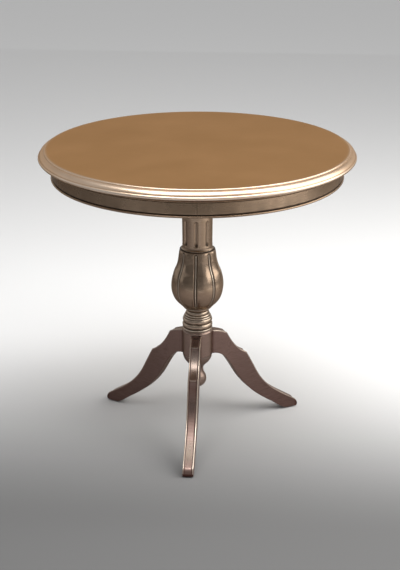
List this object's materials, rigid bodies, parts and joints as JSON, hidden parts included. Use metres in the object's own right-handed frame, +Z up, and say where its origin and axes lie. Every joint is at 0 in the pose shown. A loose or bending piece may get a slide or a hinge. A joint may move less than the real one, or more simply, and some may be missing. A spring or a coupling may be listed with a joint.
{
  "type": "tilt top table",
  "caption": "Round pedestal table whose moulded top tips up on edge, on a fluted and reeded turned column with sawn legs and a drop finial.",
  "frame": {"origin": "on the floor, on the column's axis", "axes": "+Z up the column; the front leg points to -Y; the top tips about a line along X on the +Y side of the column"},
  "size_m": [0.74, 0.74, 0.72],
  "materials": {
    "painted_wood": "wood sprayed with champagne metallic lacquer, semi-gloss, dark brown glaze in the recesses",
    "painted_top": "board sprayed with champagne metallic lacquer, satin, rubbed bright on the edge moulding",
    "bare_wood": "planed beech, unfinished",
    "steel": "zinc-plated steel",
    "brass": "lacquered brass",
    "glide": "dark moulded plastic"
  },
  "bodies": {
    "base": {"fluted_shaft": "painted_wood", "vase": "painted_wood", "turned_rings": "painted_wood", "leg_hub": "painted_wood", "drop_finial": "painted_wood", "leg_front": "painted_wood", "leg_back_right": "painted_wood", "leg_back_left": "painted_wood", "glide_front": "glide", "glide_back_right": "glide", "glide_back_left": "glide", "tie_rod": "steel", "tie_rod_washer_lower": "steel", "tie_rod_nut_lower": "steel", "tie_rod_washer_upper": "steel", "tie_rod_nut_upper": "steel", "tilt_block": "bare_wood", "keep_plate": "brass", "keep_screw_left": "brass", "keep_screw_right": "brass"},
    "top": {"apron_front_left": "painted_wood", "apron_front_right": "painted_wood", "apron_back_left": "painted_wood", "apron_back_right": "painted_wood", "top_board": "painted_top", "bearer_left": "bare_wood", "bearer_right": "bare_wood", "glue_block_right": "bare_wood", "glue_block_back": "bare_wood", "glue_block_left": "bare_wood", "glue_block_front": "bare_wood", "bearer_screw_left_front": "steel", "bearer_screw_left_middle": "steel", "bearer_screw_left_back": "steel", "bearer_screw_right_front": "steel", "bearer_screw_right_middle": "steel", "bearer_screw_right_back": "steel", "pivot_pin_left": "steel", "pivot_pin_right": "steel", "catch_spring": "steel", "catch_case": "brass", "catch_screw_left": "brass", "catch_screw_right": "brass"},
    "catch_bolt": {"catch_bolt": "brass", "catch_knob": "brass"}
  },
  "joints": [
    {"name": "top_tilt", "type": "hinge", "parent": "base", "child": "top", "pos_m": [0, 0.11, 0.684], "axis": [-1, 0, 0], "range_deg": [0, 90]},
    {"name": "catch_bolt_slide", "type": "slide", "parent": "top", "child": "catch_bolt", "axis": [0, -1, 0], "range_m": [0, 0.01], "stiffness_N_per_m": 300, "springref_m": -0.004, "deforming": ["catch_spring"]}
  ]
}
